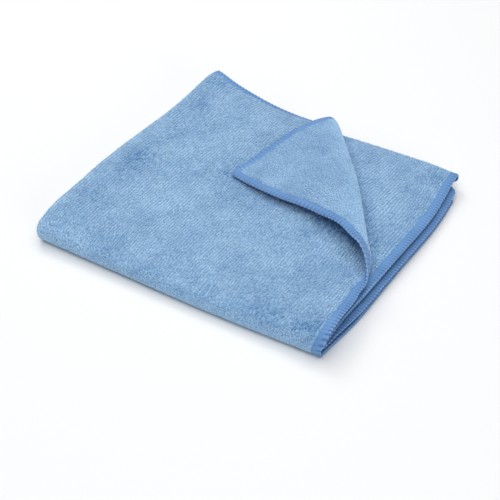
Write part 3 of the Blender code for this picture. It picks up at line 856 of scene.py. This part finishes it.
def fibre_group():
    """A node group that gives a colour between two, by the piece's shade, and a finely bumped normal.

    A fine noise speckles the shade, which is kept above DARKEST and then mixes the two colours. The same
    noise bumps the normal.
    """
    group = bpy.data.node_groups.new("fibre", "ShaderNodeTree")
    face = group.interface
    for name, kind, value in (
        ("Deep", "NodeSocketColor", (0.1, 0.2, 0.4, 1)),
        ("Light", "NodeSocketColor", (0.4, 0.6, 0.8, 1)),
        ("Speckle", "NodeSocketFloat", 0.1),
        ("Fibre Scale", "NodeSocketFloat", 2500.0),
        ("Bump", "NodeSocketFloat", 0.3),
    ):
        face.new_socket(name, in_out="INPUT", socket_type=kind).default_value = value
    face.new_socket("Color", in_out="OUTPUT", socket_type="NodeSocketColor")
    face.new_socket("Normal", in_out="OUTPUT", socket_type="NodeSocketVector")
    nodes, links = group.nodes, group.links
    given = nodes.new("NodeGroupInput")
    result = nodes.new("NodeGroupOutput")
    place = nodes.new("ShaderNodeTexCoord")
    shade = nodes.new("ShaderNodeAttribute")
    shade.attribute_name = "shade"
    fibres = nodes.new("ShaderNodeTexNoise")
    fibres.inputs["Detail"].default_value = 2.0
    links.new(place.outputs["Object"], fibres.inputs["Vector"])
    links.new(given.outputs["Fibre Scale"], fibres.inputs["Scale"])
    centred = nodes.new("ShaderNodeMath")
    centred.operation = "SUBTRACT"
    centred.inputs[1].default_value = 0.5
    links.new(fibres.outputs["Fac"], centred.inputs[0])
    spread = nodes.new("ShaderNodeMath")
    spread.operation = "MULTIPLY_ADD"
    links.new(centred.outputs[0], spread.inputs[0])
    links.new(given.outputs["Speckle"], spread.inputs[1])
    links.new(shade.outputs["Fac"], spread.inputs[2])
    limit = nodes.new("ShaderNodeClamp")
    limit.inputs["Min"].default_value = DARKEST
    links.new(spread.outputs[0], limit.inputs["Value"])
    mix = nodes.new("ShaderNodeMix")
    mix.data_type = "RGBA"
    mix.clamp_factor = False
    links.new(limit.outputs[0], mix.inputs["Factor"])
    links.new(given.outputs["Deep"], mix.inputs["A"])
    links.new(given.outputs["Light"], mix.inputs["B"])
    links.new(mix.outputs["Result"], result.inputs["Color"])
    bump = nodes.new("ShaderNodeBump")
    bump.inputs["Distance"].default_value = 0.15 * MM
    links.new(given.outputs["Bump"], bump.inputs["Strength"])
    links.new(fibres.outputs["Fac"], bump.inputs["Height"])
    links.new(bump.outputs["Normal"], result.inputs["Normal"])
    return group


def cloth_material(name, group, deep, light, speckle, scale, bump, roughness, sheen):
    """A fibre material: the group's colour and normal on a matt surface with a soft sheen."""
    material = bpy.data.materials.new(name)
    material.use_nodes = True
    nodes, links = material.node_tree.nodes, material.node_tree.links
    shader = nodes["Principled BSDF"]
    shader.inputs["Roughness"].default_value = roughness
    shader.inputs["Specular IOR Level"].default_value = 0.25
    shader.inputs["Sheen Weight"].default_value = sheen
    shader.inputs["Sheen Roughness"].default_value = 0.45
    shader.inputs["Sheen Tint"].default_value = (0.85, 0.9, 0.95, 1)
    fibre = nodes.new("ShaderNodeGroup")
    fibre.node_tree = group
    fibre.inputs["Deep"].default_value = (*deep, 1)
    fibre.inputs["Light"].default_value = (*light, 1)
    fibre.inputs["Speckle"].default_value = speckle
    fibre.inputs["Fibre Scale"].default_value = scale
    fibre.inputs["Bump"].default_value = bump
    links.new(fibre.outputs["Color"], shader.inputs["Base Color"])
    links.new(fibre.outputs["Normal"], shader.inputs["Normal"])
    return material


# ---------------------------------------------------------------------------- studio


def add_floor():
    """A wide pale floor."""
    mesh = bpy.data.meshes.new("floor")
    corners = [(x * FLOOR_REACH, y * FLOOR_REACH, 0) for x, y in ((-1, -1), (1, -1), (1, 1), (-1, 1))]
    mesh.from_pydata(corners, [], [(0, 1, 2, 3)])
    material = bpy.data.materials.new("pale floor")
    material.use_nodes = True
    shader = material.node_tree.nodes["Principled BSDF"]
    shader.inputs["Base Color"].default_value = FLOOR_COLOR
    shader.inputs["Roughness"].default_value = 0.9
    mesh.materials.append(material)
    floor = bpy.data.objects.new("floor", mesh)
    bpy.context.scene.collection.objects.link(floor)


def add_light(name, place, width, power):
    """A square soft light at place, turned towards the origin."""
    light = bpy.data.lights.new(name, "AREA")
    light.size = width
    light.energy = power
    lamp = bpy.data.objects.new(name, light)
    lamp.location = place
    lamp.rotation_euler = (-Vector(place)).to_track_quat("-Z", "Y").to_euler()
    bpy.context.scene.collection.objects.link(lamp)


def add_studio():
    """A dim pale surrounding, the soft lights and the camera."""
    world = bpy.data.worlds.new("studio")
    world.use_nodes = True
    background = world.node_tree.nodes["Background"]
    background.inputs["Color"].default_value = SURROUNDING_COLOR
    background.inputs["Strength"].default_value = SURROUNDING_STRENGTH
    bpy.context.scene.world = world
    for light in LIGHTS:
        add_light(*light)
    bpy.context.scene.view_settings.view_transform = "Standard"
    lens = bpy.data.cameras.new("camera")
    lens.lens = CAMERA_LENS
    lens.sensor_width = CAMERA_SENSOR
    camera = bpy.data.objects.new("camera", lens)
    camera.location = CAMERA_PLACE
    camera.rotation_euler = (CAMERA_AIM - CAMERA_PLACE).to_track_quat("-Z", "Y").to_euler()
    bpy.context.scene.collection.objects.link(camera)
    bpy.context.scene.camera = camera


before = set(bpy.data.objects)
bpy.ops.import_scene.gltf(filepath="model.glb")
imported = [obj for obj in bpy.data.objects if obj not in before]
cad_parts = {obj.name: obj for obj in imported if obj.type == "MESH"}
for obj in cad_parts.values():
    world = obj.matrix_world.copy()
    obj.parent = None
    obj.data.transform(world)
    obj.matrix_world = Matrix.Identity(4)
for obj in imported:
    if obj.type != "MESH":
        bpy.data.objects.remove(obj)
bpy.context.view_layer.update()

add_studio()
add_floor()

fibre = fibre_group()
pile_material = cloth_material(
    "microfibre pile",
    fibre,
    deep=(0.10, 0.24, 0.46),
    light=(0.36, 0.56, 0.77),
    speckle=2.0,
    scale=1150,
    bump=0.8,
    roughness=0.85,
    sheen=0.35,
)
hem_material = cloth_material(
    "overlock thread",
    fibre,
    deep=(0.03, 0.09, 0.26),
    light=(0.152, 0.322, 0.61),
    speckle=0.3,
    scale=3200,
    bump=0.4,
    roughness=0.6,
    sheen=0.15,
)
edge_material = cloth_material(
    "edge thread",
    fibre,
    deep=(0.04, 0.11, 0.30),
    light=(0.24, 0.42, 0.72),
    speckle=0.2,
    scale=3200,
    bump=0.4,
    roughness=0.6,
    sheen=0.15,
)

ground = ground_knit(pile_material)
tufts = all_pile(pile_material)
overlock = hem_overlock(hem_material)
edge_thread = hem_edge_thread(edge_material)
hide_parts("cloth")
